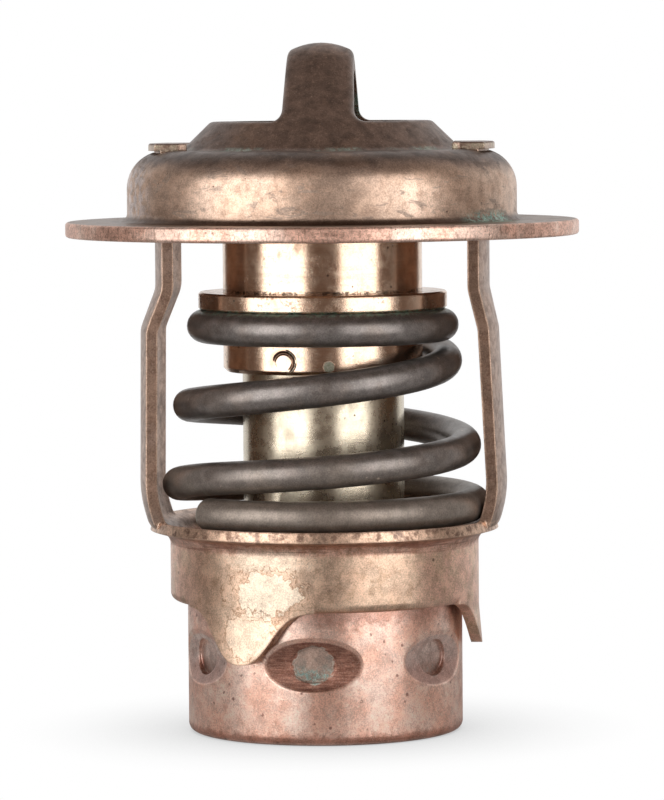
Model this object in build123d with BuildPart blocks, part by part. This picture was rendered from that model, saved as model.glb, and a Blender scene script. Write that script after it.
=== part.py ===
"""Wax-element valve for an engine's coolant outlet, with a bypass cup.

Millimetres, +Z up. The Z axis is the line that the valve travels on. z = 0 is the
underside of the bypass cup, the frame's two arms stand on +X and -X, and the
stirrup's two legs stand on -Y (the front) and +Y. Heights are chained upward from
the bypass cup, so a changed length carries every piece above it.
"""

from build123d import *
from math import acos, asin, atan2, cos, degrees, radians, sin, sqrt, tan
import numpy as np
import os

os.makedirs("parts", exist_ok=True)

# ---------------------------------------------------------------- driving dimensions
# clearances
running_gap = 0.05        # piston in its guide bore, radial
seat_gap = 0.02           # between metal faces that only touch
slot_gap = 0.15           # around each arm in its slot, and the clinch's inner bend
skirt_gap = 0.65          # bypass cup inside the frame's skirt, radial
plate_gap = 0.47          # between the valve plate's rim and the arms
dome_gap = 1.3            # between the arms and the dome's wall
neck_gap = 1.77           # between the arms' slots and the neck's foot

# bypass cup, drawn copper
cup_r = 14.5
cup_wall = 1.1
cup_height = 18.8
cup_corner = 0.9
dimple_count = 6
dimple_first = -93.0      # degrees from +X
dimple_depth = 0.95
punch_r = 4.8             # the crimping tool's curved face
punch_pad_w = 4.7
punch_pad_h = 3.8
punch_pad_depth = 0.3

# hub that the bypass cup is crimped to
hub_lift = 4.2
hub_thick = 8.4
hub_land = 0.9            # full-width land above and below the crimp groove
stem_r = 3.0
stem_end = 1.6            # stem below the hub's underside

# retaining rings, sprung open washers
ring_thick = 1.0
ring_width = 2.2
ring_bite = 0.7           # depth of the groove that a ring sits in
ring_opening = 55.0       # degrees

# wax cup, drawn brass
wax_cup_r = 8.5
wax_cup_wall = 0.8
wax_cup_length = 26.2     # from its floor's underside to the underside of its flange
wax_cup_flange = 1.1      # flange beyond the wall
diaphragm_thick = 1.0

# element body, turned brass
lip_height = 0.8          # lip rolled in under the wax cup's flange
body_r = 10.5
body_edge = 0.4
body_below_collar = 6.5
collar_r = 13.1
collar_thick = 1.85
collar_edge = 0.2
upper_body_r = 10.5
upper_body_length = 10.43
seat_neck_r = 7.0
nose_r = 4.5
nose_length = 5.6         # above the valve plate's hub
nose_edge = 0.5
piston_r = 2.5
plug_height = 5.8
plug_wide_r = 6.0
plug_taper = 4.6
pad_disc_thick = 1.0
seal_wire = 1.6
seal_lid = 0.8            # metal left above the piston seal

# main valve plate, pressed sheet
plate_r = 16.0
plate_sheet = 1.4
plate_dish = 1.4
plate_land = 3.4          # flat seat at the rim
plate_bend = 1.6

# upper housing, one drawn sheet
housing_sheet = 1.6
flange_r = 27.0
dome_height = 9.0         # from the flange's underside to the dome's flat top
shoulder_r = 4.0
flange_fillet = 0.9
flange_edge = 0.35        # rounding of the rim
neck_draw = 3.1           # the neck narrows by this up to its top
neck_height = 3.0
neck_fillet = 1.2
neck_rim = 0.9            # rounding of the neck's top edge
stirrup_height = 8.2      # crown above the neck's top edge
crown_r = 7.0             # the stirrup's rounded top
leg_width = 6.8           # of the stirrup's strip at the crown
leg_foot_width = 7.5      # and at the neck
leg_foot_fillet = 1.2
socket_r = 1.55
socket_depth = 0.5        # below the crown's inner face

# lower frame, one pressed sheet
frame_sheet = 1.13
spring_room = 22.0        # from the ledge's rim to the collar's underside
ledge_width = 2.1         # the ledge's rim beyond the skirt
ledge_dish = 0.6
ledge_fillet = 1.2
skirt_length = 7.45       # from the ledge's underside to the skirt's straight edge
skirt_edge = 0.8          # roll-over of the blanked edge
lug_length = 5.5
short_lug_length = 4.8    # the lug on +X
lug_base_half = 28.0      # degrees
lug_middle_half = 12.7    # at half its length
lug_tip_half = 6.2        # at nine tenths of its length
lug_flare = 0.4           # the lugs' tips lean out by this
lug_bend_drop = 0.8       # from the skirt's edge down to where they lean
arm_width = 12.2
arm_jog = 1.8             # the arms step in by this
arm_slope = 3.6           # height of the sloped foot above the ledge
arm_foot_bend = 12.0
arm_jog_low = 21.2        # above the ledge's underside
arm_jog_high = 25.4
right_arm_lean = 0.85     # the arm on +X draws in by this before the jog
left_arm_lean = 0.2
arm_bend = 3.0
corner_bend = 2.1
head_thick = 0.75         # clinched head, from the arm's upset end
head_spread = 0.6         # beyond the arm's outer face
head_edge = 0.25

# main spring, round wire
wire_r = 1.72
coil_base_r = 15.8        # mean radius of the lowest turn
coil_start = -137.0
coil_end = 1080.0
coil_step = 15.0
coil_blend = 10.0
# (degrees from +X, share of the whole rise); from the last one on it lies flat under the collar
coil_rise = [(-146, 0), (0, 0.0105), (100, 0.0367), (175, 0.105), (214, 0.186), (360, 0.333), (540, 0.556), (720, 0.802), (860, 1)]
# (degrees from +X, share of the lowest turn's radius)
coil_radius = [(-146, 1.0095), (0, 1), (180, 0.9715), (360, 0.943), (540, 0.899), (720, 0.8165), (900, 0.7975)]

# ---------------------------------------------------------------- heights, from the cup up
hub_top = hub_lift + hub_thick
dimple_z = hub_lift + hub_thick / 2
cup_flange_z = hub_top + wax_cup_length
body_bottom = cup_flange_z - lip_height
recess_top = cup_flange_z + wax_cup_wall + diaphragm_thick
collar_z = body_bottom + body_below_collar
collar_top = collar_z + collar_thick
shoulder_z = collar_top + upper_body_length
plate_hub_top = shoulder_z + plate_sheet
plate_top = plate_hub_top + plate_dish
nose_top = plate_hub_top + nose_length
dome_top = plate_top + seat_gap + housing_sheet
flange_z = dome_top - dome_height
neck_top = dome_top + neck_height
stirrup_top = neck_top + stirrup_height
ledge_top = collar_z - spring_room
ledge_under = ledge_top - frame_sheet
skirt_end = ledge_under - skirt_length
pad_top = recess_top + plug_height + pad_disc_thick
bore_r = piston_r + running_gap
socket_top = stirrup_top - housing_sheet + socket_depth
cup_inner_r = cup_r - cup_wall
flange_outer_r = wax_cup_r + wax_cup_flange

# ---------------------------------------------------------------- radii, from the cup and the plate out
skirt_r = cup_r + skirt_gap + frame_sheet
ledge_r = skirt_r + ledge_width
arm_in_r = plate_r + plate_gap + frame_sheet
arm_out_r = arm_in_r + arm_jog
dome_r = arm_in_r + dome_gap + housing_sheet
neck_base_r = arm_in_r - frame_sheet - neck_gap
neck_top_r = neck_base_r - neck_draw
arm_reach = arm_width + 2 * arm_out_r
arm_leans = {0: right_arm_lean, 180: left_arm_lean}  # by degrees from +X


def radial_plane(angle):
    """Upright plane through the Z axis: local X points outward at that angle, local Y is up."""
    turn = radians(angle)
    return Plane(origin=(0, 0, 0), x_dir=(cos(turn), sin(turn), 0), z_dir=(sin(turn), -cos(turn), 0))


def facing_plane(angle, distance, height):
    """Plane that faces outward at that angle: local X runs round the axis, local Y is up."""
    turn = radians(angle)
    return Plane(
        origin=(distance * cos(turn), distance * sin(turn), height),
        x_dir=(-sin(turn), cos(turn), 0),
        z_dir=(cos(turn), sin(turn), 0),
    )


# ---------------------------------------------------------------- upper housing
slot_half = degrees(asin((arm_width / 2 + slot_gap) / (arm_in_r - frame_sheet - slot_gap)))
crown_z = stirrup_top - crown_r
# the legs carry the neck's slope on until it meets the crown's arc
leg_reach = sqrt(neck_top_r**2 + (neck_top - crown_z) ** 2)
leg_turn = acos(crown_r / leg_reach) + atan2(neck_top - crown_z, neck_top_r)
leg_end = (crown_r * cos(leg_turn), crown_z + crown_r * sin(leg_turn))
crown_mid_turn = (leg_turn + radians(90)) / 2
crown_mid = (crown_r * cos(crown_mid_turn), crown_z + crown_r * sin(crown_mid_turn))

with BuildPart() as upper_housing:
    with BuildSketch(Plane.XZ):
        with BuildLine():
            FilletPolyline(
                (flange_r, flange_z + housing_sheet),
                (dome_r, flange_z + housing_sheet),
                (dome_r, dome_top),
                (neck_base_r, dome_top),
                (neck_top_r, neck_top),
                leg_end,
                radius=[flange_fillet, shoulder_r, neck_fillet, shoulder_r],
            )
            ThreePointArc(leg_end, crown_mid, (0, stirrup_top))
            offset(amount=housing_sheet, side=Side.LEFT)
        make_face()
    revolve(axis=Axis.Z)
    rim = upper_housing.edges().filter_by(lambda e: abs(e.bounding_box().max.X - flange_r) < seat_gap)
    fillet(rim.sort_by(Axis.Z)[:: len(rim) - 1], flange_edge)

    # side windows leave the neck's ring and the stirrup's strip
    with BuildSketch(Plane.XZ):
        with BuildLine():
            Polyline(
                (leg_width / 2, stirrup_top + housing_sheet),
                (leg_width / 2, stirrup_top),
                (leg_foot_width / 2, neck_top),
                (dome_r, neck_top),
                (dome_r, stirrup_top + housing_sheet),
                close=True,
            )
        window = make_face()
        foot = window.vertices().group_by(Axis.Y)[0].sort_by(Axis.X)[0]
        fillet(foot, leg_foot_fillet)
        mirror(about=Plane.YZ)
    extrude(amount=dome_r, both=True, mode=Mode.SUBTRACT)
    rims = upper_housing.edges().filter_by(GeomType.CIRCLE).filter_by_position(Axis.Z, neck_top - seat_gap, neck_top + seat_gap)
    fillet(rims.group_by(SortBy.RADIUS)[-1], neck_rim)

    # the piston's socket, sunk into the crown from below
    with BuildSketch(Plane.XY.offset(socket_top)):
        Circle(socket_r)
    extrude(amount=-housing_sheet, mode=Mode.SUBTRACT)

    # slots that the arms' ends come up through
    for angle in arm_leans:
        with BuildSketch(radial_plane(angle - slot_half)):
            with BuildLine():
                Polyline(
                    (arm_in_r - frame_sheet - slot_gap, dome_top - shoulder_r),
                    (arm_in_r + slot_gap, dome_top - shoulder_r),
                    (arm_in_r + slot_gap, dome_top + housing_sheet),
                    (arm_in_r - frame_sheet - slot_gap, dome_top + housing_sheet),
                    close=True,
                )
            make_face()
        revolve(axis=Axis.Z, revolution_arc=2 * slot_half, mode=Mode.SUBTRACT)

upper_housing.part.label = "upper_housing"
export_step(upper_housing.part, "parts/upper_housing.step")

# ---------------------------------------------------------------- lower frame
lug_base_x, lug_middle_x, lug_tip_x = [skirt_r * sin(radians(half)) for half in (lug_base_half, lug_middle_half, lug_tip_half)]
lug_root = skirt_end + skirt_length / 2
lug_lengths = {0: short_lug_length, 120: lug_length, 240: lug_length}  # by degrees from +X

# bell-shaped lugs, cut to the skirt's curve
with BuildPart() as lug_blanks:
    for angle, length in lug_lengths.items():
        with BuildSketch(facing_plane(angle, 0, 0)):
            with BuildLine():
                Spline(
                    (lug_base_x, skirt_end),
                    (lug_middle_x, skirt_end - length / 2),
                    (lug_tip_x, skirt_end - 0.9 * length),
                    (0, skirt_end - length),
                    tangents=[(-1, 0), (-1, 0)],
                )
                Polyline((0, skirt_end - length), (0, lug_root), (lug_base_x, lug_root), (lug_base_x, skirt_end))
            make_face()
            mirror(about=Plane.YZ)
        extrude(amount=skirt_r + length)
    with BuildSketch(Plane.XZ):
        with BuildLine():
            FilletPolyline(
                (skirt_r, ledge_under),
                (skirt_r, skirt_end - lug_bend_drop),
                (skirt_r + lug_flare, skirt_end - lug_length),
                radius=lug_length,
            )
            offset(amount=frame_sheet, side=Side.RIGHT)
        make_face()
    revolve(axis=Axis.Z, mode=Mode.INTERSECT)

# arms: curved in plan, jogged in to the dome's slots, their ends upset over its top
arm_half = degrees(asin(arm_width / 2 / (arm_in_r - frame_sheet))) + 1
ledge_tilt = atan2(ledge_dish, ledge_width)
fold_r = skirt_r + ledge_fillet * tan((radians(90) - ledge_tilt) / 2) * cos(ledge_tilt)
head_bottom = dome_top + seat_gap
with BuildPart() as arm_blanks:
    for angle, lean in arm_leans.items():
        with BuildSketch(radial_plane(angle - arm_half)):
            with BuildLine():
                FilletPolyline(
                    (fold_r, ledge_under - ledge_dish + (fold_r - skirt_r) * tan(ledge_tilt)),
                    (ledge_r, ledge_under),
                    (arm_out_r, ledge_under + arm_slope),
                    (arm_out_r - lean, ledge_under + arm_jog_low),
                    (arm_in_r, ledge_under + arm_jog_high),
                    (arm_in_r, head_bottom + head_thick / 2),
                    radius=[corner_bend, arm_foot_bend, arm_bend, arm_bend],
                )
                offset(amount=frame_sheet, side=Side.LEFT)
            make_face()
            with BuildLine():
                Polyline(
                    (arm_in_r + head_spread, head_bottom),
                    (arm_in_r + head_spread, head_bottom + head_thick),
                    (neck_base_r + head_edge, head_bottom + head_thick),
                    (neck_base_r + head_edge, head_bottom),
                    close=True,
                )
            head = make_face()
            fillet(head.vertices().group_by(Axis.Y)[-1], head_edge)
        revolve(axis=Axis.Z, revolution_arc=2 * arm_half)
    with BuildSketch():
        Rectangle(arm_reach, arm_width)
    extrude(amount=stirrup_top, mode=Mode.INTERSECT)

with BuildPart() as lower_frame:
    # ledge and skirt, turned down from one ring
    with BuildSketch(Plane.XZ):
        with BuildLine():
            FilletPolyline(
                (ledge_r, ledge_under),
                (skirt_r, ledge_under - ledge_dish),
                (skirt_r, skirt_end),
                radius=ledge_fillet,
            )
            offset(amount=frame_sheet, side=Side.RIGHT)
        ring = make_face()
        fillet(ring.vertices().group_by(Axis.Y)[0].sort_by(Axis.X)[-1], skirt_edge)
    revolve(axis=Axis.Z)
    add(lug_blanks.part)
    add(arm_blanks.part)

lower_frame.part.label = "lower_frame"
export_step(lower_frame.part, "parts/lower_frame.step")

# ---------------------------------------------------------------- main spring
bend_r = skirt_r + ledge_fillet
bend_z = ledge_under - (ledge_r - bend_r) * tan(ledge_tilt) - ledge_fillet / cos(ledge_tilt)
seat_reach = ledge_fillet + frame_sheet + wire_r + seat_gap
seat_z = bend_z + sqrt(seat_reach**2 - (bend_r - coil_base_r * coil_radius[0][1]) ** 2)


def eased(stations, angle):
    """Value at an angle between stations, with the corners between them rounded off."""
    angles = [station[0] for station in stations]
    values = [station[1] for station in stations]
    near = [angle + coil_blend * step for step in (-2, -1, 0, 1, 2)]
    return sum(np.interp(near, angles, values)) / len(near)


top_coil_z = collar_z - wire_r - seat_gap
coil_points = []
turn_count = int((coil_end - coil_start) / coil_step)
for i in range(turn_count + 1):
    angle = coil_start + i * (coil_end - coil_start) / turn_count
    radius = coil_base_r * eased(coil_radius, angle)
    height = seat_z + (top_coil_z - seat_z) * eased(coil_rise, angle)
    coil_points.append((radius * cos(radians(angle)), radius * sin(radians(angle)), height))

with BuildPart() as main_spring:
    with BuildLine():
        coil = Spline(*coil_points)
    with BuildSketch(Plane(origin=coil @ 0, z_dir=coil % 0)):
        Circle(wire_r)
    sweep()

main_spring.part.label = "main_spring"
export_step(main_spring.part, "parts/main_spring.step")

# ---------------------------------------------------------------- piston
# its shoulder stops where the crown's inner face comes in to its radius
inner_crown_r = crown_r - housing_sheet
shoulder_stop = crown_z + sqrt(inner_crown_r**2 - piston_r**2) - seat_gap
with BuildPart() as piston:
    with BuildSketch(Plane.XZ):
        with BuildLine():
            Polyline(
                (0, pad_top),
                (piston_r, pad_top),
                (piston_r, shoulder_stop),
                (socket_r - running_gap, shoulder_stop),
                (socket_r - running_gap, socket_top),
                (0, socket_top),
                close=True,
            )
        make_face()
    revolve(axis=Axis.Z)

piston.part.label = "piston"
export_step(piston.part, "parts/piston.step")

# ---------------------------------------------------------------- element body
plug_top = recess_top + plug_height
groove_r = seat_neck_r - ring_bite
seal_low = nose_top - seal_lid - seal_wire
seal_r = bore_r + seal_wire / 2

with BuildPart() as element_body:
    with BuildSketch(Plane.XZ):
        with BuildLine():
            Polyline(
                (wax_cup_r + running_gap, body_bottom),
                (body_r - body_edge, body_bottom),
                (body_r, body_bottom + body_edge),
                (body_r, collar_z),
                (collar_r - collar_edge, collar_z),
                (collar_r, collar_z + collar_edge),
                (collar_r, collar_top - collar_edge),
                (collar_r - collar_edge, collar_top),
                (upper_body_r, collar_top),
                (upper_body_r, shoulder_z),
                (seat_neck_r, shoulder_z),
                (seat_neck_r, plate_hub_top),
                (groove_r, plate_hub_top),
                (groove_r, plate_hub_top + ring_thick),
                (seat_neck_r, plate_hub_top + ring_thick),
                (seat_neck_r, plate_hub_top + 2 * ring_thick),
                (nose_r, plate_hub_top + 2 * ring_thick + (seat_neck_r - nose_r) / 2),
                (nose_r, nose_top - nose_edge),
                (nose_r - nose_edge, nose_top),
                (bore_r, nose_top),
                (bore_r, recess_top + plug_taper),
                (plug_wide_r, recess_top),
                (flange_outer_r + running_gap, recess_top),
                (flange_outer_r + running_gap, cup_flange_z),
                (wax_cup_r + running_gap, cup_flange_z),
                close=True,
            )
        make_face()
    revolve(axis=Axis.Z)
    # groove for the piston's seal
    with BuildSketch(Plane.XZ):
        with Locations((bore_r + seal_wire / 4, seal_low + seal_wire / 2)):
            Rectangle(seal_wire * 1.5, seal_wire)
    revolve(axis=Axis.Z, mode=Mode.SUBTRACT)

element_body.part.label = "element_body"
export_step(element_body.part, "parts/element_body.step")

with BuildPart() as piston_seal:
    with BuildSketch(Plane.XZ):
        with Locations((piston_r + seat_gap + seal_wire / 2, seal_low + seal_wire / 2)):
            Circle(seal_wire / 2 - seat_gap)
    revolve(axis=Axis.Z)

piston_seal.part.label = "piston_seal"
export_step(piston_seal.part, "parts/piston_seal.step")

# ---------------------------------------------------------------- inside the element
with BuildPart() as diaphragm:
    with BuildSketch(Plane.XY.offset(recess_top - diaphragm_thick)):
        Circle(flange_outer_r)
    extrude(amount=diaphragm_thick)

diaphragm.part.label = "diaphragm"
export_step(diaphragm.part, "parts/diaphragm.step")

with BuildPart() as rubber_plug:
    with BuildSketch(Plane.XZ):
        with BuildLine():
            Polyline(
                (0, recess_top),
                (plug_wide_r - running_gap, recess_top),
                (piston_r, recess_top + plug_taper),
                (piston_r, plug_top),
                (0, plug_top),
                close=True,
            )
        make_face()
    revolve(axis=Axis.Z)

rubber_plug.part.label = "rubber_plug"
export_step(rubber_plug.part, "parts/rubber_plug.step")

with BuildPart() as pressure_pad:
    with BuildSketch(Plane.XY.offset(plug_top)):
        Circle(piston_r)
    extrude(amount=pad_disc_thick)

pressure_pad.part.label = "pressure_pad"
export_step(pressure_pad.part, "parts/pressure_pad.step")

with BuildPart() as wax_cup:
    with BuildSketch(Plane.XZ):
        with BuildLine():
            Polyline(
                (0, hub_lift - stem_end),
                (stem_r, hub_lift - stem_end),
                (stem_r, hub_top),
                (wax_cup_r, hub_top),
                (wax_cup_r, cup_flange_z),
                (flange_outer_r, cup_flange_z),
                (flange_outer_r, cup_flange_z + wax_cup_wall),
                (wax_cup_r - wax_cup_wall, cup_flange_z + wax_cup_wall),
                (wax_cup_r - wax_cup_wall, hub_top + wax_cup_wall),
                (0, hub_top + wax_cup_wall),
                close=True,
            )
        make_face()
    revolve(axis=Axis.Z)
    # groove for the hub's ring
    with BuildSketch(Plane.XY.offset(hub_lift - ring_thick)):
        Circle(stem_r)
        Circle(stem_r - ring_bite, mode=Mode.SUBTRACT)
    extrude(amount=ring_thick, mode=Mode.SUBTRACT)

wax_cup.part.label = "wax_cup"
export_step(wax_cup.part, "parts/wax_cup.step")

with BuildPart() as wax_charge:
    with BuildSketch(Plane.XY.offset(hub_top + wax_cup_wall)):
        Circle(wax_cup_r - wax_cup_wall)
    extrude(amount=wax_cup_length)

wax_charge.part.label = "wax_charge"
export_step(wax_charge.part, "parts/wax_charge.step")

# ---------------------------------------------------------------- main valve plate
with BuildPart() as main_valve_plate:
    with BuildSketch(Plane.XZ):
        with BuildLine():
            FilletPolyline(
                (plate_r, plate_top),
                (plate_r - plate_land, plate_top),
                (plate_r - plate_land - plate_dish, plate_hub_top),
                (seat_neck_r + running_gap, plate_hub_top),
                radius=plate_bend,
            )
            offset(amount=plate_sheet, side=Side.LEFT)
        make_face()
    revolve(axis=Axis.Z)

main_valve_plate.part.label = "main_valve_plate"
export_step(main_valve_plate.part, "parts/main_valve_plate.step")


def open_ring(inner_r, low_z):
    """Sprung open washer round the Z axis, with its opening at the back."""
    with BuildPart() as ring:
        with BuildSketch(radial_plane(90 + ring_opening / 2)):
            with Locations((inner_r + ring_width / 2, low_z + ring_thick / 2)):
                Rectangle(ring_width, ring_thick)
        revolve(axis=Axis.Z, revolution_arc=360 - ring_opening)
    return ring.part


valve_ring = open_ring(groove_r, plate_hub_top)
valve_ring.label = "valve_ring"
export_step(valve_ring, "parts/valve_ring.step")

hub_ring = open_ring(stem_r - ring_bite, hub_lift - ring_thick)
hub_ring.label = "hub_ring"
export_step(hub_ring, "parts/hub_ring.step")

# ---------------------------------------------------------------- bypass hub and cup
dimple_reach = cup_r - dimple_depth           # distance of the crimp's floor from the axis
boss_reach = dimple_reach - cup_wall
hub_r = cup_inner_r - seat_gap
crimp_groove_r = boss_reach - punch_pad_depth - seat_gap

with BuildPart() as bypass_hub:
    with BuildSketch(Plane.XZ):
        with BuildLine():
            Polyline(
                (stem_r + seat_gap, hub_lift),
                (hub_r, hub_lift),
                (hub_r, hub_lift + hub_land),
                (crimp_groove_r, dimple_z - punch_pad_h / 2 - seat_gap),
                (crimp_groove_r, dimple_z + punch_pad_h / 2 + seat_gap),
                (hub_r, hub_top - hub_land),
                (hub_r, hub_top),
                (stem_r + seat_gap, hub_top),
                close=True,
            )
        make_face()
    revolve(axis=Axis.Z)

bypass_hub.part.label = "bypass_hub"
export_step(bypass_hub.part, "parts/bypass_hub.step")

dimple_planes = []
for i in range(dimple_count):
    dimple_planes.append(dimple_first + i * 360 / dimple_count)


def punch_places():
    """Tool planes of the six crimps, level with the hub's groove, each facing outward."""
    return [facing_plane(angle, dimple_reach + punch_r, dimple_z) for angle in dimple_planes]


with BuildPart() as bypass_cup:
    # material pushed inward behind each crimp, kept inside the cup's wall
    with Locations(*punch_places()):
        Cylinder(punch_r + cup_wall, 2 * cup_inner_r * sin(radians(25)), rotation=(0, 90, 0))
    for angle in dimple_planes:
        with BuildSketch(facing_plane(angle, boss_reach - punch_pad_depth, dimple_z)):
            Ellipse(punch_pad_w / 2, punch_pad_h / 2)
        extrude(amount=cup_wall + dimple_depth)
    with BuildSketch(Plane.XY):
        Circle(cup_inner_r + cup_wall / 2)
    extrude(amount=cup_height, mode=Mode.INTERSECT)

    # drawn wall and floor
    with BuildSketch(Plane.XZ):
        with BuildLine():
            FilletPolyline((0, 0), (cup_r, 0), (cup_r, cup_height), radius=cup_corner)
            offset(amount=cup_wall, side=Side.LEFT)
        make_face()
    revolve(axis=Axis.Z)

    # the crimps themselves: a curved-faced tool, then its small flat pad
    with Locations(*punch_places()):
        Cylinder(punch_r, 2 * cup_r, rotation=(0, 90, 0), mode=Mode.SUBTRACT)
    for angle in dimple_planes:
        with BuildSketch(facing_plane(angle, dimple_reach - punch_pad_depth, dimple_z)):
            Ellipse(punch_pad_w / 2, punch_pad_h / 2)
        extrude(amount=dimple_depth + punch_pad_depth, mode=Mode.SUBTRACT)

bypass_cup.part.label = "bypass_cup"
export_step(bypass_cup.part, "parts/bypass_cup.step")
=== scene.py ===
# %% [markdown]
# # A wax valve from a cooling circuit, dressed for its portrait
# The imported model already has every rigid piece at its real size. This script gives each
# piece the finish of the metal it is made of, models the coil spring again with its rough
# cut ends, and sets up a plain studio. Lengths are in metres. Finishes think in
# millimetres, because a stain or a scratch is easier to size that way.

# %% Load the frame and keep its box
from math import cos, pi, radians, sin

import bmesh
import bpy
from mathutils import Matrix, Vector


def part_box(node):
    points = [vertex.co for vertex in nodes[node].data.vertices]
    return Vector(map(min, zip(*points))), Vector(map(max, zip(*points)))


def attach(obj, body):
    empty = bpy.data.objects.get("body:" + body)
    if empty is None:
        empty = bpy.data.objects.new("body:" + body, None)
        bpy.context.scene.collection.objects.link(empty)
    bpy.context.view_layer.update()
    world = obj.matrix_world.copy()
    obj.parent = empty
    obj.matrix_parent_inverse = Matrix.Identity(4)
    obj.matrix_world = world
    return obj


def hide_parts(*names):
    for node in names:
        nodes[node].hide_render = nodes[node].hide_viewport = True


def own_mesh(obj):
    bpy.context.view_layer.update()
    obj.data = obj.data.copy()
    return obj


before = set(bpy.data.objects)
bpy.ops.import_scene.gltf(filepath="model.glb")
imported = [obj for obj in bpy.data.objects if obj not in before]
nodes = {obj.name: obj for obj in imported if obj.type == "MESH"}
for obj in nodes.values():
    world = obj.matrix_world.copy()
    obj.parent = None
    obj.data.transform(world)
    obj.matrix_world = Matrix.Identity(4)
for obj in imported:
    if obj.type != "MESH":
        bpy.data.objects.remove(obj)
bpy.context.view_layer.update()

MM = 0.001
print("pieces:", sorted(nodes))

# %% [markdown]
# ## A small kit for node graphs
# Each finish is a node graph. A graph could be drawn by hand in the shader editor, but a
# script can be read and changed line by line. Linking node by node is long to read, so
# three small classes give a graph verbs. The first one knows nodes and sums. A value may
# be a number or another node's output, and feed() takes either.

# %% Nodes and sums


def verbs(kind):
    return [name for name in vars(kind) if not name.startswith("_")]


class Graph:
    """Adds nodes to one node tree and does sums with what they give."""

    def __init__(self, tree):
        self.tree = tree

    def add(self, kind, inputs=None, **settings):
        node = self.tree.nodes.new(kind)
        for key, value in settings.items():
            setattr(node, key, value)
        for key, value in (inputs or {}).items():
            self.feed(node.inputs[key], value)
        return node

    def feed(self, socket, value):
        if isinstance(value, bpy.types.NodeSocket):
            self.tree.links.new(value, socket)
        elif isinstance(value, tuple) and len(value) == 3 and socket.type == "RGBA":
            socket.default_value = (*value, 1.0)
        else:
            socket.default_value = value

    def math(self, operation, a, b=0.0):
        return self.add("ShaderNodeMath", {0: a, 1: b}, operation=operation).outputs[0]

    def plus(self, a, b):
        return self.math("ADD", a, b)

    def minus(self, a, b):
        return self.math("SUBTRACT", a, b)

    def divide(self, a, b):
        return self.math("DIVIDE", a, b)

    def larger(self, a, b):
        return self.math("MAXIMUM", a, b)

    def unsigned(self, a):
        return self.math("ABSOLUTE", a)

    def times(self, *values):
        result = values[0]
        for value in values[1:]:
            result = self.math("MULTIPLY", result, value)
        return result

    def distance(self, a, b):
        """Length of the slope over a across and b up."""
        return self.math("SQRT", self.plus(self.times(a, a), self.times(b, b)))


print("a graph can:", verbs(Graph))

# %% [markdown]
# The second class makes masks and patterns. A mask is a value from 0 to 1 that says where
# something is. Every pattern reads Object coordinates turned into millimetres, so it stays
# fixed to the metal. The Mix node has sockets of one name for numbers, vectors and
# colours, so its colour sockets are called by their numbers.

# %% Masks and patterns
MIX_AMOUNT, MIX_FIRST, MIX_SECOND, MIX_RESULT = 0, 6, 7, 2


class Patterns(Graph):
    """Masks, mixed colours and noise on one node tree."""

    def place_in_mm(self):
        place = self.add("ShaderNodeTexCoord").outputs["Object"]
        self.place = self.add("ShaderNodeVectorMath", {0: place, 3: 1 / MM}, operation="SCALE").outputs[0]
        self.x, self.y, self.z = self.add("ShaderNodeSeparateXYZ", {0: self.place}).outputs
        self.r = self.distance(self.x, self.y)
        self.turn = self.math("ARCTAN2", self.y, self.x)

    def fade(self, value, start, end, low=0.0, high=1.0):
        """Smooth step: low before start, high after end. start may be above end."""
        inputs = {"Value": value, "From Min": start, "From Max": end, "To Min": low, "To Max": high}
        return self.add("ShaderNodeMapRange", inputs, interpolation_type="SMOOTHSTEP").outputs[0]

    def band(self, value, start, end, soft):
        """1 between start and end, fading out over soft on each side."""
        rise = self.fade(value, start - soft, start + soft)
        fall = self.fade(value, end + soft, end - soft)
        return self.times(rise, fall)

    def wobble(self, noise, reach, low=0.3, high=0.7):
        """Turns noise into a push of up to reach either way."""
        return self.fade(noise, low, high, -reach, reach)

    def blend(self, amount, a, b):
        inputs = {MIX_AMOUNT: amount, MIX_FIRST: a, MIX_SECOND: b}
        mix = self.add("ShaderNodeMix", data_type="RGBA", blend_type="MIX")
        for key, value in inputs.items():
            self.feed(mix.inputs[key], value)
        return mix.outputs[MIX_RESULT]

    def moved(self, place=None, **settings):
        """The place in millimetres, turned, stretched or shifted for one pattern."""
        names = {"turn": "Rotation", "shift": "Location", "stretch": "Scale"}
        inputs = {names[key]: value for key, value in settings.items()}
        source = self.place if place is None else place
        return self.add("ShaderNodeMapping", {"Vector": source, **inputs}).outputs[0]

    def noise(self, size, detail, rough, stretch=(1, 1, 1), shift=(0, 0, 0), place=None, twist=0.0):
        """Cloudy value from 0 to 1 whose lumps are about size millimetres across."""
        spot = self.moved(place, shift=shift, stretch=stretch)
        inputs = {"Scale": 1 / size, "Detail": detail, "Roughness": rough, "Distortion": twist}
        return self.add("ShaderNodeTexNoise", {"Vector": spot, **inputs}).outputs["Fac"]

    def specks(self, spacing, shift, edge, middle):
        """Small round spots about spacing millimetres apart, full inside middle."""
        points = self.add("ShaderNodeTexVoronoi", {"Vector": self.moved(shift=shift), "Scale": 1 / spacing})
        return self.fade(points.outputs["Distance"], edge, middle)


print("patterns add:", verbs(Patterns))

# %% [markdown]
# The last class is one material. It keeps a colour and paints over it in layers, as dirt
# and wear lie over metal. Edges are found with a Bevel node: where its rounded normal
# leaves the real one, there is an edge close by.

# %% One material


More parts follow.
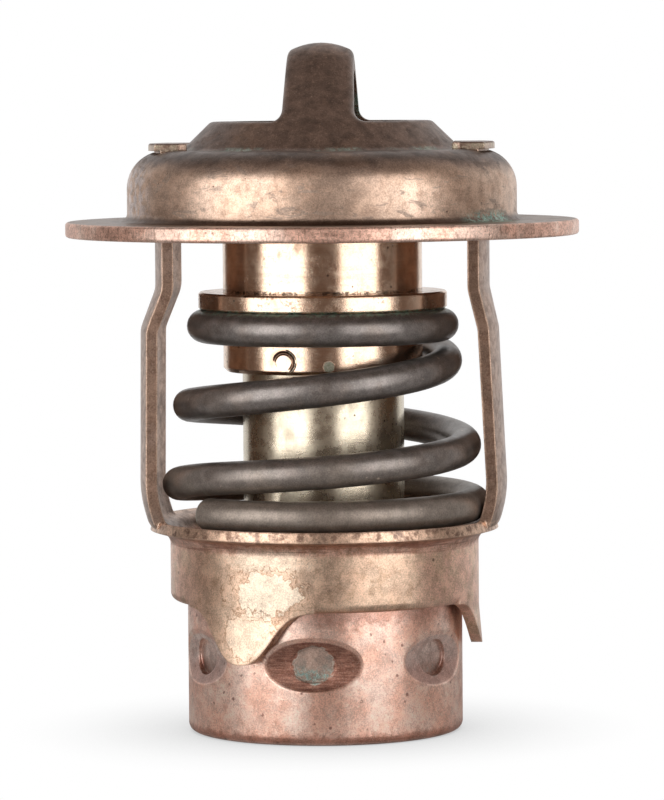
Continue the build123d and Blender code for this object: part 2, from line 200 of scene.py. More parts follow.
class Finish(Patterns):
    """A metal, rubber or wax skin that is painted in layers and then put on pieces."""

    def __init__(self, name, metallic=1.0):
        self.material = bpy.data.materials.new(name)
        self.material.use_nodes = True
        super().__init__(self.material.node_tree)
        self.shader = self.tree.nodes["Principled BSDF"]
        self.shader.inputs["Metallic"].default_value = metallic
        self.place_in_mm()

    def coat(self, base, *layers):
        """A colour with others laid over it, each as (where, colour, strength)."""
        for where, colour, *strength in layers:
            base = self.blend(self.times(where, *strength), base, colour)
        return base

    def paint(self, where, colour, *strength):
        self.colour = self.coat(self.colour, (where, colour, *strength))

    def uneven(self, amount, size=0.16):
        """Makes the colour finely lighter and darker, as pressed metal is up close."""
        fine = self.noise(size, 2, 0.75, shift=(5, 5, 5))
        clump = self.noise(size * 9, 3, 0.6, shift=(8, 5, 2))
        value = self.fade(self.plus(fine, self.wobble(clump, 0.12)), 0.26, 0.74, 1 - amount, 1 + amount)
        adjust = self.add("ShaderNodeHueSaturation", {"Value": value, "Color": self.colour})
        self.colour = adjust.outputs[0]

    def bump(self, height, depth, under=None):
        """Raises or sinks the surface by up to depth millimetres."""
        inputs = {"Height": height, "Distance": depth * MM, "Strength": 1.0}
        if under is not None:
            inputs["Normal"] = under
        return self.add("ShaderNodeBump", inputs).outputs[0]

    def soft_edges(self, radius):
        """Normals that round every sharp edge over radius millimetres."""
        return self.add("ShaderNodeBevel", {"Radius": radius * MM}, samples=4).outputs[0]

    def edge_wear(self, radius):
        """0 on open surfaces and towards 1 at edges."""
        inputs = {0: self.soft_edges(radius), 1: self.add("ShaderNodeNewGeometry").outputs["Normal"]}
        match = self.add("ShaderNodeVectorMath", inputs, operation="DOT_PRODUCT")
        return self.fade(match.outputs["Value"], 0.995, 0.9)

    def shade(self, roughness, relief, metallic=None):
        """Hands the painted colour, the roughness and the relief to the shader."""
        self.feed(self.shader.inputs["Base Color"], self.colour)
        self.feed(self.shader.inputs["Roughness"], roughness)
        self.feed(self.shader.inputs["Normal"], relief)
        if metallic is not None:
            self.feed(self.shader.inputs["Metallic"], metallic)

    def wear(self, *names):
        """Puts this finish on the named pieces of the frame."""
        for name in names:
            piece = nodes[name]
            piece.data.materials.clear()
            piece.data.materials.append(self.material)
        print(self.material.name, "on", names)

    def tell(self, made):
        """Prints what a cell has added and how far the graph has grown."""
        print(f"{self.material.name}: {made}, {len(self.tree.nodes)} nodes")


print("a finish adds:", verbs(Finish))

# %% [markdown]
# ## Colours
# The colours that several pieces share are named here, so that the metals stay related.
# Each finish names its own beside its code. Values are linear.

# %% Shared palette
COPPER_PALE = (0.84, 0.62, 0.48)
COPPER_PINK = (0.80, 0.50, 0.39)
BRASS_PALE = (0.86, 0.745, 0.60)
GRIME = (0.060, 0.040, 0.030)
VERDIGRIS = (0.16, 0.34, 0.27)
CHALK = (0.50, 0.55, 0.49)


def salt_colour(f, low=0.42, high=0.58):
    """Green salts with chalky grains among them."""
    return f.blend(f.fade(f.grain, low, high), VERDIGRIS, CHALK)


print("copper, pale to pink:", COPPER_PALE, COPPER_PINK)

# %% [markdown]
# ## Heights of the real pieces
# Finishes change at the pieces' own edges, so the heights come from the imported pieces. The
# steps inside one pressed or turned piece can't be read from its box, so they are given.

# %% Heights in millimetres
BODY_BELOW_COLLAR = 6.5
SPRING_ROOM = 22.0
FRAME_SHEET = 1.13
SKIRT_LENGTH = 7.45
HOUSING_SHEET = 1.6
DOME_HEIGHT = 9.0
NECK_HEIGHT = 3.0


def low_high(name):
    low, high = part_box(name)
    return low[2] / MM, high[2] / MM


CUP_BOTTOM = low_high("bypass_cup")[0]
BODY_BOTTOM = low_high("element_body")[0]
FLANGE_LOW, STIRRUP_TOP = low_high("upper_housing")
COLLAR_Z = BODY_BOTTOM + BODY_BELOW_COLLAR
LEDGE_TOP = COLLAR_Z - SPRING_ROOM
SKIRT_END = LEDGE_TOP - FRAME_SHEET - SKIRT_LENGTH
FLANGE_TOP = FLANGE_LOW + HOUSING_SHEET
DOME_TOP = FLANGE_LOW + DOME_HEIGHT
NECK_TOP = DOME_TOP + NECK_HEIGHT
print("collar", round(COLLAR_Z, 2), "ledge", round(LEDGE_TOP, 2), "stirrup", round(STIRRUP_TOP, 2))

# %% [markdown]
# ## The housing: brown patina over drawn copper alloy
# The neck and the stirrup are dark brown, the dome's wall is rubbed bright, and the
# flange's rim is scuffed pink. All this could be painted by hand on an unwrapped skin.
# Masks by height and radius are used instead: they need no unwrapping and stay sharp up
# close, and noise pushes the wide borders about so that they don't run straight. Three
# sizes of noise do most of the work: a wide cloud, a middling mottle and a fine grain.

# %% The housing's patterns
housing = Finish("brown_patina")
housing.cloud = housing.noise(6.0, 4, 0.55)
housing.mottle = housing.noise(1.3, 5, 0.6, shift=(7, 3, 1))
housing.grain = housing.noise(0.13, 2, 0.6)
housing.height = housing.plus(housing.z, housing.wobble(housing.cloud, 0.35))
housing.neck = housing.fade(housing.height, DOME_TOP - 2.7, DOME_TOP - 0.8)
housing.tell("patterns")

# %% [markdown]
# The dome's wall is warm copper that hands have rubbed, with dull splashes on it. A splash
# could be a spot of its own. Here it is a narrow slice through one noise, which gives many
# ragged islands at once. Its left edge gets patches of lilac painted reflection of the white
# backdrop.

# %% Dome skin
COPPER_WARM = (0.56, 0.390, 0.290)
COPPER_RUBBED = (0.65, 0.480, 0.375)
COPPER_TAN = (0.40, 0.25, 0.175)
COPPER_DULL = (0.36, 0.285, 0.235)
SIDE_BROWN = (0.30, 0.210, 0.160)
LILAC_REFLECTION = (0.62, 0.55, 0.54)


def dome_skin(f):
    f.colour = f.blend(f.fade(f.cloud, 0.35, 0.68), COPPER_WARM, COPPER_RUBBED)
    f.paint(f.fade(f.mottle, 0.50, 0.68), COPPER_TAN, 0.35)
    smear = f.noise(2.4, 4, 0.6, shift=(2, 9, 4), stretch=(0.8, 0.8, 2.0), twist=0.6)
    f.dull = f.times(f.fade(smear, 0.56, 0.62), f.fade(smear, 0.72, 0.66), 0.7)
    f.paint(f.dull, COPPER_DULL)
    right_of_middle = f.band(f.plus(f.x, f.wobble(f.cloud, 2.0)), 2.0, 8.0, 2.2)
    f.paint(f.times(right_of_middle, f.fade(f.y, -6.0, -9.0)), SIDE_BROWN, 0.42)
    # painted reflection: lilac patches where the dome's left edge mirrors the white backdrop
    reflection_patches = f.fade(f.noise(1.1, 4, 0.6, shift=(8, 8, 2)), 0.44, 0.58)
    f.paint(f.times(f.fade(f.x, -16.5, -19.0), reflection_patches), LILAC_REFLECTION, 0.75)


dome_skin(housing)
housing.tell("dome")

# %% [markdown]
# The patina of the neck and the stirrup is dark brown, with faint upright streaks, and painted
# shade darkens their left side. The streaks could be drawn one by one. A noise that is
# stretched along the axis makes them all.

# %% Neck and stirrup skin
PATINA_DARK = (0.100, 0.062, 0.045)
PATINA_BROWN = (0.170, 0.108, 0.080)
NECK_SIDE_SHADE = (0.070, 0.044, 0.034)
BRONZE_BROWN = (0.33, 0.195, 0.125)
STREAK_BROWN = (0.34, 0.22, 0.155)


def neck_skin(f):
    streaks = f.noise(0.5, 3, 0.6, stretch=(1, 1, 0.12), shift=(5, 1, 3))
    patina = f.coat(
        f.blend(f.fade(f.mottle, 0.36, 0.70), PATINA_BROWN, PATINA_DARK),
        (f.fade(f.cloud, 0.52, 0.70), BRONZE_BROWN, 0.4),
        (f.fade(streaks, 0.56, 0.68), STREAK_BROWN, 0.25),
        # painted shade on the left side of the neck and the stirrup
        (f.fade(f.x, -4.0, -10.0), NECK_SIDE_SHADE, 0.30),
    )
    f.paint(f.neck, patina)


neck_skin(housing)
housing.tell("neck and stirrup")

# %% [markdown]
# The flange is dark brown on top and its rim is scuffed to bare pink metal. Radius and
# height find the rim. The edge finder would find it too, but also every other edge.

# %% Flange skin and scuffed rim
FLANGE_R = 27.0
FLANGE_DARK = (0.10, 0.068, 0.052)
FLANGE_BROWN = (0.19, 0.130, 0.098)
SCUFF_BROWN = (0.42, 0.26, 0.20)
SCUFF_PALE = (0.86, 0.70, 0.60)
NICK_BROWN = (0.34, 0.20, 0.15)


def flange_skin(f):
    above = f.fade(f.z, FLANGE_TOP - 0.3, FLANGE_TOP - 0.05)
    top = f.times(above, f.fade(f.z, FLANGE_TOP + 1.1, FLANGE_TOP + 0.2))
    f.paint(top, f.blend(f.fade(f.mottle, 0.35, 0.65), FLANGE_DARK, FLANGE_BROWN), 0.85)
    outermost = f.fade(f.r, FLANGE_R - 0.5, FLANGE_R - 0.2)
    rim = f.times(outermost, f.fade(f.z, FLANGE_TOP + 0.1, FLANGE_TOP - 0.1))
    scuffs = f.noise(0.5, 4, 0.7, stretch=(1, 1, 2.0), shift=(1, 2, 8))
    nicks = f.noise(0.28, 3, 0.7, stretch=(1, 1, 0.35), shift=(3, 1, 6))
    scuffed = f.coat(
        f.blend(f.fade(scuffs, 0.45, 0.70), COPPER_PINK, SCUFF_BROWN),
        (f.fade(f.cloud, 0.48, 0.60), SCUFF_PALE, 0.5),
        (f.fade(nicks, 0.52, 0.64), NICK_BROWN, 0.6),
    )
    f.paint(rim, scuffed)


flange_skin(housing)
housing.tell("flange and rim")

# %% [markdown]
# Wear, dirt and painted shade lie over the skins, so they are painted after them. Edges are
# rubbed bright, painted shade darkens the dome's shoulder, which faces up where no lamp is,
# and a brown line of painted shade marks the corner at its foot. Green salts gather at the
# dome's foot on one side, round the neck's foot and inside the stirrup. They could be grains
# of their own, but are thin enough to be colour. Each place is fenced in by fades over x, y,
# z or radius and broken up by noise.

# %% Wear, painted shade and salts on the housing
WORN_COPPER = (0.60, 0.42, 0.30)
SHOULDER_SHADE = (0.055, 0.036, 0.027)
FOOT_SHADE = (0.11, 0.070, 0.052)


def housing_wear_and_shade(f):
    f.paint(f.times(f.edge_wear(0.3), f.fade(f.mottle, 0.38, 0.56)), WORN_COPPER, 0.6)
    # painted shade: the dome's shoulder faces up, where no lamp is
    shoulder = f.band(f.height, DOME_TOP - 1.0, DOME_TOP - 0.1, 0.7)
    f.paint(f.times(shoulder, f.fade(f.r, 14.5, 15.5)), SHOULDER_SHADE, 0.6)
    # painted shade in the corner where the dome's wall meets the flange
    foot_shade = f.band(f.z, FLANGE_TOP - 0.05, FLANGE_TOP + 0.45, 0.22)
    f.paint(f.times(foot_shade, f.fade(f.r, 22.6, 21.9)), FOOT_SHADE, 0.75)


def housing_salts(f):
    low = f.times(f.fade(f.z, FLANGE_TOP + 1.5, FLANGE_TOP + 0.5), f.fade(f.r, 23.6, 22.2))
    foot = f.times(low, f.band(f.x, 15.5, 21.0, 1.2), f.fade(f.y, -6.0, -8.5))
    corner = f.times(f.band(f.z, DOME_TOP - 0.15, DOME_TOP + 0.35, 0.15), f.fade(f.r, 17.0, 15.5))
    root = f.times(corner, f.fade(f.cloud, 0.45, 0.60), 0.45)
    leg = f.times(f.fade(f.y, 2.0, 4.0), f.band(f.z, NECK_TOP + 0.5, NECK_TOP + 2.8, 0.4))
    inside = f.times(leg, f.fade(f.x, 2.6, 3.3))
    powder = f.fade(f.noise(0.6, 4, 0.7, shift=(1, 5, 2)), 0.42, 0.55)
    f.salts = f.times(f.larger(f.larger(foot, root), inside), powder)
    f.paint(f.salts, salt_colour(f))


housing_wear_and_shade(housing)
housing_salts(housing)
housing.tell("dirt and salts")

# %% [markdown]
# Up close the sheet is pitted and grainy. Modelled pits would cost far too many faces, so
# they go into a bump, which only changes how light falls on the face. Salts and splashes
# are duller than metal, and the patina is less metallic.

# %% Pits, grain and gloss of the housing


def finish_housing(f):
    pits = f.times(f.specks(1.3, (0.3, 0.2, 0.9), 0.11, 0.06), f.fade(f.mottle, 0.48, 0.58))
    f.paint(pits, GRIME, 0.8)
    f.paint(f.fade(f.grain, 0.60, 0.72), GRIME, 0.35)
    f.paint(f.fade(f.grain, 0.38, 0.28), COPPER_PALE, 0.20)
    f.uneven(0.26)
    roughness = f.plus(f.fade(f.mottle, 0.3, 0.75, 0.35, 0.45), f.times(f.neck, 0.03))
    roughness = f.plus(roughness, f.times(f.larger(f.salts, f.dull), 0.14))
    relief = f.bump(f.mottle, 0.018, f.soft_edges(0.25))
    relief = f.bump(f.grain, 0.010, relief)
    relief = f.bump(f.times(pits, -1.0), 0.03, relief)
    f.shade(roughness, relief, metallic=f.fade(f.neck, 0.0, 1.0, 1.0, 0.6))


finish_housing(housing)
housing.tell("pits, grain and gloss")
housing.wear("upper_housing")

# %% [markdown]
# ## The lower frame: pressed bronze sheet
# The skirt is golden where hands have rubbed it and pink along the fold under the ledge
# and towards its sides. The arms are brown and speckled. Two materials could share the
# sheet, but one graph with a mask lets gold run into brown without a seam.

# %% The frame's patterns and base colours
BRASS_GOLD = (0.685, 0.500, 0.370)
BRASS_ROSE = (0.66, 0.445, 0.320)
BRASS_SHADE = (0.50, 0.345, 0.240)
ARM_TAN = (0.385, 0.258, 0.192)
ARM_BROWN = (0.235, 0.146, 0.105)
ARM_DUST = (0.36, 0.270, 0.225)

bronze = Finish("pressed_bronze")
bronze.cloud = bronze.noise(4.6, 4, 0.6, shift=(3, 1, 8))
bronze.mottle = bronze.noise(0.9, 5, 0.62, shift=(5, 2, 6))
bronze.grain = bronze.noise(0.12, 2, 0.6, shift=(2, 2, 2))
bronze.skirt = bronze.fade(bronze.z, LEDGE_TOP - 1.2, LEDGE_TOP - 2.2)


def frame_skin(f):
    arm = f.blend(f.fade(f.mottle, 0.38, 0.66), ARM_TAN, ARM_BROWN)
    arm = f.coat(arm, (f.fade(f.cloud, 0.50, 0.66), ARM_DUST, 0.5))
    gold = f.blend(f.fade(f.cloud, 0.36, 0.66), BRASS_GOLD, BRASS_ROSE)
    gold = f.coat(gold, (f.fade(f.mottle, 0.50, 0.70), BRASS_SHADE, 0.4))
    f.colour = f.blend(f.skirt, arm, gold)


frame_skin(bronze)
bronze.tell("arms and skirt")

# %% [markdown]
# Where the sheet folds from the ledge into the skirt it is drawn thin, pink and finely
# creased. The ledge's lip above it is rubbed bright in places. The creases could be
# modelled. They have hardly any depth, so a noise stretched along the fold is enough.

# %% Lip, fold and creases
LIP_PALE = (0.72, 0.50, 0.365)
FOLD_BROWN = (0.52, 0.27, 0.19)
SIDE_PINK = (0.74, 0.46, 0.36)
CREASE_BROWN = (0.30, 0.135, 0.095)
SKIRT_BROWN = (0.42, 0.27, 0.175)


def frame_folds(f):
    rim = f.band(f.z, LEDGE_TOP - 1.5, LEDGE_TOP - 0.1, 0.15)
    lip = f.times(rim, f.fade(f.r, 17.2, 17.8), f.fade(f.r, 19.2, 18.8))
    f.paint(f.times(lip, f.fade(f.mottle, 0.62, 0.42)), LIP_PALE, 0.8)
    fold = f.band(f.z, LEDGE_TOP - 2.7, LEDGE_TOP - 1.5, 0.3)
    f.paint(fold, f.blend(f.fade(f.mottle, 0.42, 0.62), COPPER_PINK, FOLD_BROWN), 0.7)
    to_the_sides = f.fade(f.unsigned(f.plus(f.x, 1.0)), 9.5, 14.0)
    patches = f.fade(f.noise(2.6, 4, 0.6, shift=(9, 9, 1)), 0.36, 0.56)
    f.paint(f.times(f.skirt, to_the_sides, patches), SIDE_PINK, 0.75)
    creases = f.noise(0.30, 3, 0.7, stretch=(0.04, 0.04, 1.0), shift=(0, 0, 2))
    f.paint(f.times(fold, f.fade(creases, 0.50, 0.62)), CREASE_BROWN, 0.7)
    blotches = f.fade(f.noise(1.5, 5, 0.7, shift=(2, 7, 7)), 0.52, 0.66)
    f.paint(f.times(blotches, f.skirt), SKIRT_BROWN, 0.55)


frame_folds(bronze)
bronze.tell("folds and blotches")

# %% [markdown]
# The front lug carries a dried stain whose outline shows as thin brown lines. A picture of
# a stain could be laid on it, but it would blur up close. Here each line is a level curve
# of a distance that noise has pushed about: a pale inside, then a narrow band at distance
# 1, and a broken second one further out.

# %% Dried stain on the front lug
STAIN_LINE = (0.26, 0.140, 0.075)


def stain(f, centre, spread, push):
    """Wobbly distance from a stain's middle on the skirt, 1 at its outline."""
    aside = f.divide(f.minus(f.x, centre[0]), spread[0])
    above = f.divide(f.minus(f.z, centre[1]), spread[1])
    return f.plus(f.distance(aside, above), push)


def dried_stain(f):
    push = f.wobble(f.noise(1.7, 2, 0.4, shift=(4, 4, 4)), 0.22, 0.25, 0.75)
    push = f.plus(push, f.wobble(f.noise(0.5, 2, 0.5, shift=(1, 4, 9)), 0.13, 0.25, 0.75))
    large = stain(f, (-5.4, SKIRT_END + 1.9), (3.4, 2.3), push)
    small = stain(f, (-7.0, SKIRT_END - 2.4), (2.6, 2.4), push)
    upper = stain(f, (-5.4, SKIRT_END + 5.4), (4.2, 1.2), push)
    front = f.times(f.fade(f.y, -6.0, -8.0), f.skirt)
    pale = f.larger(f.fade(large, 1.06, 0.90), f.times(f.fade(small, 1.1, 0.8), 0.5))
    pale = f.larger(pale, f.times(f.fade(upper, 1.3, 0.7), 0.6))
    f.chalky = f.times(pale, front)
    f.paint(f.chalky, BRASS_PALE, 0.7)
    broken = f.fade(f.noise(1.0, 2, 0.5, shift=(6, 1, 1)), 0.45, 0.55)
    outer = f.times(f.band(large, 1.20, 1.25, 0.04), broken)
    lines = f.larger(f.band(large, 0.98, 1.03, 0.045), f.band(small, 0.98, 1.03, 0.045))
    lines = f.times(f.larger(lines, outer), front, f.fade(f.mottle, 0.30, 0.42, 0.3, 1.0))
    f.paint(lines, STAIN_LINE, 0.9)


dried_stain(bronze)
bronze.tell("dried stain")

# %% [markdown]
# Rubbed edges, dark grains and spots lie over the whole frame, and pale specks over its
# arms. The arms end in clinched heads on the dome, brown on top and chalky at their edges.
# They could have a material of their own. They are the only part of the frame above the
# dome, so a mask by height finds them.

# %% Wear, clinched heads and gloss of the frame
SPECK_PALE = (0.86, 0.70, 0.58)
HEAD_BROWN = (0.40, 0.28, 0.22)
HEAD_CHALK = (0.50, 0.46, 0.33)
HEAD_TAN = (0.62, 0.48, 0.38)
HEAD_TOP = (0.20, 0.135, 0.110)


def frame_wear(f):
    f.paint(f.times(f.edge_wear(0.22), f.fade(f.mottle, 0.30, 0.50)), COPPER_PALE, 0.85)
    specks = f.times(f.fade(f.grain, 0.36, 0.28), f.fade(f.mottle, 0.42, 0.55))
    f.paint(f.times(specks, f.minus(1.0, f.skirt)), SPECK_PALE, 0.6)
    f.paint(f.fade(f.grain, 0.58, 0.70), GRIME, 0.42)
    spots = f.specks(2.6, (0.8, 0.1, 0.4), 0.085, 0.05)
    f.paint(f.times(spots, f.fade(f.cloud, 0.45, 0.55)), GRIME, 0.7)


def clinched_heads(f):
    chalk = f.blend(f.fade(f.grain, 0.4, 0.6), HEAD_CHALK, HEAD_TAN)
    colour = f.blend(f.fade(f.mottle, 0.42, 0.58), HEAD_BROWN, chalk)
    colour = f.blend(f.fade(f.z, DOME_TOP + 0.55, DOME_TOP + 0.7), colour, HEAD_TOP)
    f.paint(f.fade(f.z, DOME_TOP - 0.1, DOME_TOP + 0.05), colour, 0.9)


def finish_frame(f):
    f.uneven(0.27)
    roughness = f.plus(f.fade(f.mottle, 0.3, 0.75, 0.32, 0.42), f.times(f.chalky, 0.05))
    relief = f.bump(f.mottle, 0.018, f.soft_edges(0.25))
    f.shade(roughness, f.bump(f.grain, 0.008, relief))


frame_wear(bronze)
clinched_heads(bronze)
finish_frame(bronze)
bronze.tell("wear, heads and gloss")
bronze.wear("lower_frame")

# %% [markdown]
# ## The turned body and the drawn wax cup
# Both are brass with fine rings round them. The rings could be cut as real grooves, at the
# price of many thousand faces. They are stretched noise instead, long round the axis and
# short along it, which goes into the colour and a very small bump. One function makes the
# skin, with tarnish and scratches, and each piece gets it in its own brass.

# %% Turned skin


def turned_skin(name, base, pale, dark):
    f = Finish(name)
    f.rings = f.noise(0.22, 3, 0.75, stretch=(0.04, 0.04, 1.0))
    f.mottle = f.noise(1.5, 5, 0.6, shift=(3, 6, 2))
    f.grain = f.noise(0.13, 2, 0.6)
    f.colour = f.blend(f.fade(f.mottle, 0.36, 0.68), base, pale)
    f.paint(f.fade(f.rings, 0.54, 0.74), dark, 0.30)
    bands = f.noise(1.3, 3, 0.6, stretch=(0.05, 0.05, 1.0), shift=(0, 0, 3))
    f.paint(f.fade(bands, 0.58, 0.70), dark, 0.22)
    f.tarnish = f.fade(f.noise(2.8, 5, 0.62, stretch=(1, 1, 0.6), shift=(6, 4, 1)), 0.54, 0.70)
    f.paint(f.tarnish, dark, 0.5)
    specks = f.specks(1.25, (0.4, 1.3, 0.2), 0.13, 0.07)
    f.paint(f.times(specks, f.fade(f.mottle, 0.45, 0.55)), GRIME, 0.9)
    scratches = f.noise(0.5, 2, 0.5, stretch=(1, 1, 0.05), place=f.moved(turn=(0.5, 0.35, 0.9)))
    f.paint(f.fade(scratches, 0.69, 0.73), BRASS_PALE, 0.5)
    f.paint(f.edge_wear(0.2), COPPER_PALE, 0.45)
    f.uneven(0.10)
    return f


def turned_gloss(f, low, high):
    """Roughness and relief of lathe-turned metal, from the smoothest to the dullest."""
    f.roughness = f.plus(f.fade(f.mottle, 0.3, 0.7, low, high), f.times(f.tarnish, 0.10))
    f.relief = f.bump(f.rings, 0.006, f.soft_edges(0.22))
    f.relief = f.bump(f.grain, 0.005, f.relief)


# %% [markdown]
# The wax cup is a yellower brass than the body and a little duller, so it takes the common
# skin as it is, with a higher roughness. The hub behind the crimps is of the same stuff.

# %% The wax cup's yellow brass
CUP_BRASS = (0.64, 0.555, 0.430)
CUP_BRASS_PALE = (0.72, 0.64, 0.50)
CUP_BRASS_DARK = (0.40, 0.335, 0.25)

yellow = turned_skin("yellow_brass", CUP_BRASS, CUP_BRASS_PALE, CUP_BRASS_DARK)
turned_gloss(yellow, 0.23, 0.32)
yellow.shade(yellow.roughness, yellow.relief)
yellow.tell("turned skin")
yellow.wear("wax_cup", "bypass_hub")

# %% [markdown]
# The body is redder and shinier, and it has marks of its own. Its collar is stained, with
# dirt in the corner above and salts where the spring presses from below. They could be a
# second material on the collar's faces. A mask by height and radius does it on any mesh.

# %% The body's brass and its stained collar
BODY_BRASS = (0.76, 0.530, 0.385)
BODY_BRASS_PALE = (0.82, 0.63, 0.48)
BODY_BRASS_DARK = (0.42, 0.235, 0.150)
COLLAR_STAIN = (0.30, 0.165, 0.110)

body = turned_skin("turned_body", BODY_BRASS, BODY_BRASS_PALE, BODY_BRASS_DARK)
turned_gloss(body, 0.15, 0.23)


def collar_marks(f):
    collar = f.times(f.band(f.z, COLLAR_Z, COLLAR_Z + 1.9, 0.05), f.fade(f.r, 12.0, 12.5))
    drips = f.fade(f.noise(0.34, 3, 0.7, shift=(9, 2, 2)), 0.46, 0.58)
    stains = f.times(f.fade(f.mottle, 0.50, 0.60), drips, f.fade(collar, 0.0, 1.0, 0.18, 0.65))
    f.paint(stains, COLLAR_STAIN)
    f.roughness = f.plus(f.roughness, f.times(stains, 0.2))
    corner = f.band(f.z, COLLAR_Z + 1.85, COLLAR_Z + 2.15, 0.08)
    dirt = f.fade(f.noise(0.4, 4, 0.7, shift=(3, 3, 1)), 0.46, 0.58)
    f.paint(f.times(corner, dirt), GRIME, 0.9)
    underside = f.band(f.z, COLLAR_Z - 0.2, COLLAR_Z + 0.22, 0.08)
    powder = f.fade(f.noise(0.6, 4, 0.7), 0.44, 0.56)
    f.paint(f.times(underside, powder), salt_colour(f), 0.8)


collar_marks(body)
body.tell("collar")

# %% [markdown]
# A round punch staked the wax cup and left a crescent, and beside it lies a pale drop of
# solder. Both could be shapes of their own, but they are only a fraction of a millimetre
# deep, so colour and bump are enough. They are drawn by distance from a point on the
# body's front, and the crescent is the part of a ring on one side of a slanted line. The
# crescent is painted shade on the dent's wall, a brown painted shadow lies outside it to the
# upper left, and the raised lip on its right gets a painted highlight.

# %% Stake mark and solder drop
PUNCH_AT = (-3.7, BODY_BOTTOM + 1.35)
DROP_AT = (1.0, BODY_BOTTOM + 0.9)
DENT_SHADOW_BROWN = (0.34, 0.17, 0.105)
CRESCENT_SHADE = (0.16, 0.075, 0.045)
SOLDER_DARK = (0.26, 0.26, 0.19)
SOLDER_PALE = (0.40, 0.39, 0.31)


def stake_mark(f, front):
    aside = f.minus(f.x, PUNCH_AT[0])
    above = f.minus(f.z, PUNCH_AT[1])
    ring = f.distance(aside, above)
    upper_right = f.fade(f.plus(above, f.times(aside, 0.5)), -0.75, 0.0)
    crescent = f.times(f.band(ring, 0.80, 1.10, 0.16), upper_right, front)
    # painted shadow outside the dent at its upper left
    shadow_side = f.fade(f.minus(above, aside), 0.2, 1.2)
    f.paint(f.times(f.band(ring, 0.95, 1.5, 0.3), shadow_side, front), DENT_SHADOW_BROWN, 0.5)
    # painted shade in the crescent of the dent's wall
    f.paint(crescent, CRESCENT_SHADE, 0.85)
    pit = f.times(f.fade(ring, 1.0, 0.7), front)
    # painted highlight on the raised lip at the dent's right
    lip = f.times(f.band(ring, 1.15, 1.3, 0.1), f.fade(aside, 0.1, 0.7), front)
    f.paint(lip, BRASS_PALE, 0.7)
    f.relief = f.bump(f.minus(lip, f.larger(crescent, f.times(pit, 0.5))), 0.16, f.relief)


def solder_drop(f, front):
    reach = f.distance(f.minus(f.x, DROP_AT[0]), f.minus(f.z, DROP_AT[1]))
    reach = f.plus(reach, f.wobble(f.grain, 0.08, 0.2, 0.8))
    drop = f.times(f.fade(reach, 0.62, 0.5), front)
    f.paint(drop, f.blend(f.fade(f.grain, 0.40, 0.60), SOLDER_DARK, SOLDER_PALE))
    f.roughness = f.plus(f.roughness, f.times(drop, 0.25))
    f.relief = f.bump(drop, 0.05, f.relief)


body_front = body.fade(body.y, -7.5, -8.5)
stake_mark(body, body_front)
solder_drop(body, body_front)
body.shade(body.roughness, body.relief)
body.tell("stake mark and drop")
body.wear("element_body", "main_valve_plate")

# %% [markdown]
# ## The bypass cup: pink copper with six crimps
# The cup is pink copper, reddened near its bottom and darkened by a painted shadow just
# below the skirt, and fine scratches run three ways over it. They could be strokes drawn
# along curves. A loop of three stretched noises, each read in a turned place, costs a few
# lines and covers it all.

# %% The cup's copper
CUP_PINK = (0.91, 0.545, 0.420)
CUP_PALE = (0.95, 0.690, 0.580)
CUP_BROWN = (0.62, 0.31, 0.22)
SCRATCH_PALE = (0.92, 0.72, 0.60)
COPPER_RED = (0.36, 0.150, 0.100)
SKIRT_SHADOW = (0.40, 0.19, 0.14)

copper = Finish("cup_copper")
copper.cloud = copper.noise(3.4, 4, 0.6)
copper.mottle = copper.noise(0.8, 5, 0.65, shift=(1, 8, 3))
copper.grain = copper.noise(0.12, 2, 0.6, shift=(6, 1, 1))


def cup_skin(f):
    f.colour = f.blend(f.fade(f.cloud, 0.36, 0.66), CUP_PINK, CUP_PALE)
    f.paint(f.fade(f.mottle, 0.50, 0.72), CUP_BROWN, 0.35)
    for tilt, push in ((0.6, 1.0), (-0.9, 5.0), (1.35, 9.0)):
        turned = f.moved(turn=(0, tilt, tilt), shift=(push, push, 0))
        lines = f.noise(0.26, 2, 0.6, stretch=(1, 1, 0.06), place=turned)
        f.paint(f.fade(lines, 0.66, 0.71), SCRATCH_PALE, 0.7)
    low = f.plus(f.z, f.wobble(f.mottle, 0.3))
    f.paint(f.fade(low, CUP_BOTTOM + 1.5, CUP_BOTTOM + 0.7), COPPER_RED, 0.6)
    # painted shadow of the skirt on the cup's top
    high = f.plus(f.z, f.wobble(f.mottle, 0.5))
    f.paint(f.fade(high, SKIRT_END - 2.2, SKIRT_END - 0.6), SKIRT_SHADOW, 0.55)


cup_skin(copper)
copper.tell("copper and scratches")

# %% [markdown]
# The six crimps are dents in the solid, and only their skin is wanted. Their faces could
# be picked one by one. But they lie below the cup's round wall, so a point whose distance
# from the axis is less than the wall's is inside one. Folding the angle round the axis
# into a sixth of a turn then measures every crimp from its own middle: across and up.

# %% Where the crimps are
CUP_R = 14.5
CRIMP_Z = sum(low_high("bypass_hub")) / 2
CRIMP_FIRST = radians(-93)
CRIMP_STEP = pi / 3


def find_crimps(f):
    sixth = f.divide(f.minus(f.turn, CRIMP_FIRST), CRIMP_STEP)
    nearest = f.minus(sixth, f.math("ROUND", sixth))
    f.across = f.times(nearest, CRIMP_STEP, CUP_R)
    f.up = f.minus(f.z, CRIMP_Z)
    f.outer_wall = f.math("GREATER_THAN", f.r, CUP_R - 1.6)
    sunk = f.fade(f.r, CUP_R - 0.01, CUP_R - 0.16)
    f.inside = f.times(sunk, f.band(f.up, -3.0, 3.0, 0.05), f.outer_wall)
    # 0 at the front crimp, which is the dirtiest, and 1 at those beside it
    f.beside = f.fade(f.unsigned(f.minus(f.turn, CRIMP_FIRST)), 0.45, 0.65)


find_crimps(copper)
copper.tell("places in the crimps")

# %% [markdown]
# Each crimp is an eye of dull brown skin, streaked across by the tool. Those beside the
# front one are rubbed paler on top, and painted shade darkens their lower part and the wall
# just below their dents. Over the front one's upper part lies a painted shadow of the skirt.
# They are layers of one colour rather than six materials, so that the streaks and the grain
# run through them all.

